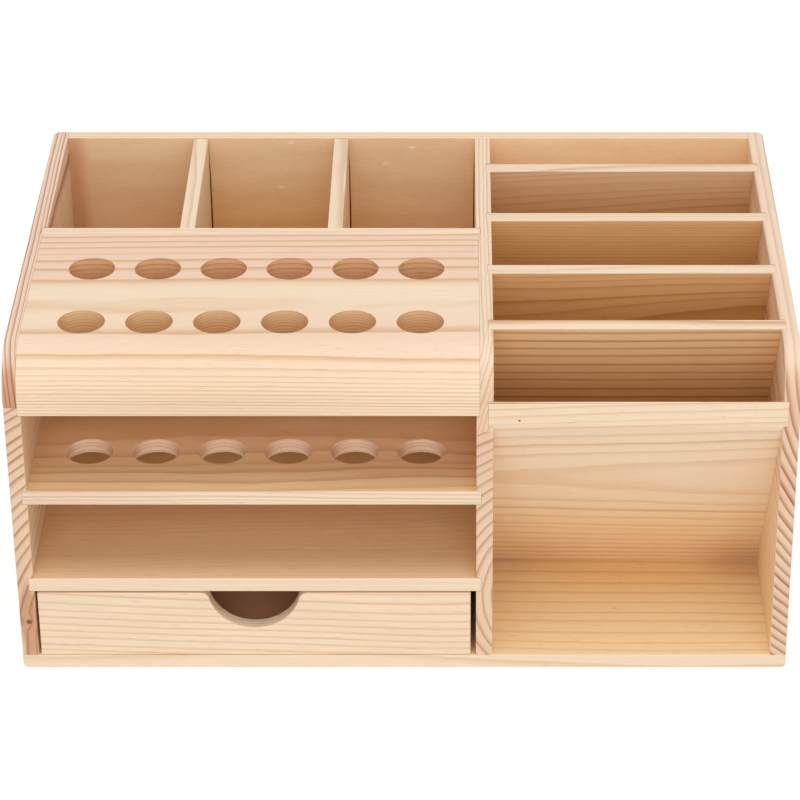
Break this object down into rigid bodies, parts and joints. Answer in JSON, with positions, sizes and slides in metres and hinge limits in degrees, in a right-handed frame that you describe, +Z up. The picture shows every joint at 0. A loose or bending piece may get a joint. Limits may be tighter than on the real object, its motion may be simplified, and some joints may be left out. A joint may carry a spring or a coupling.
{
  "type": "desktop tool organiser",
  "caption": "Pine desktop organiser with a drilled tool block, open shelves, bins, leaning slats, an open cubby and a sliding parts drawer with a thumb notch.",
  "frame": {"origin": "middle of the base board's underside", "axes": "+X to the right as seen from the front, +Y towards the back, +Z up"},
  "size_m": [0.4, 0.26, 0.186],
  "materials": {
    "pine": "sanded, unfinished",
    "plywood": "sanded, unfinished",
    "steel": "plain"
  },
  "bodies": {
    "case": {"base_board": "pine", "left_upright_stave": "pine", "left_upright": "pine", "middle_upright_stave": "pine", "middle_upright": "pine", "right_upright": "pine", "back_panel": "plywood", "tool_block": "pine", "upper_shelf": "pine", "lower_shelf": "pine", "bin_front": "pine", "bin_divider_left": "pine", "bin_divider_right": "pine", "slat_1": "pine", "slat_2": "pine", "slat_3": "pine", "slat_4": "pine", "slant_board": "pine", "base_brads": "steel", "back_brads": "steel"},
    "drawer": {"drawer_front": "pine", "drawer_left_side": "pine", "drawer_right_side": "pine", "drawer_back": "pine", "drawer_bottom": "plywood", "drawer_brads": "steel"}
  },
  "joints": [
    {"name": "drawer_slide", "type": "slide", "parent": "case", "child": "drawer", "axis": [0, -1, 0], "range_m": [0, 0.2]}
  ]
}
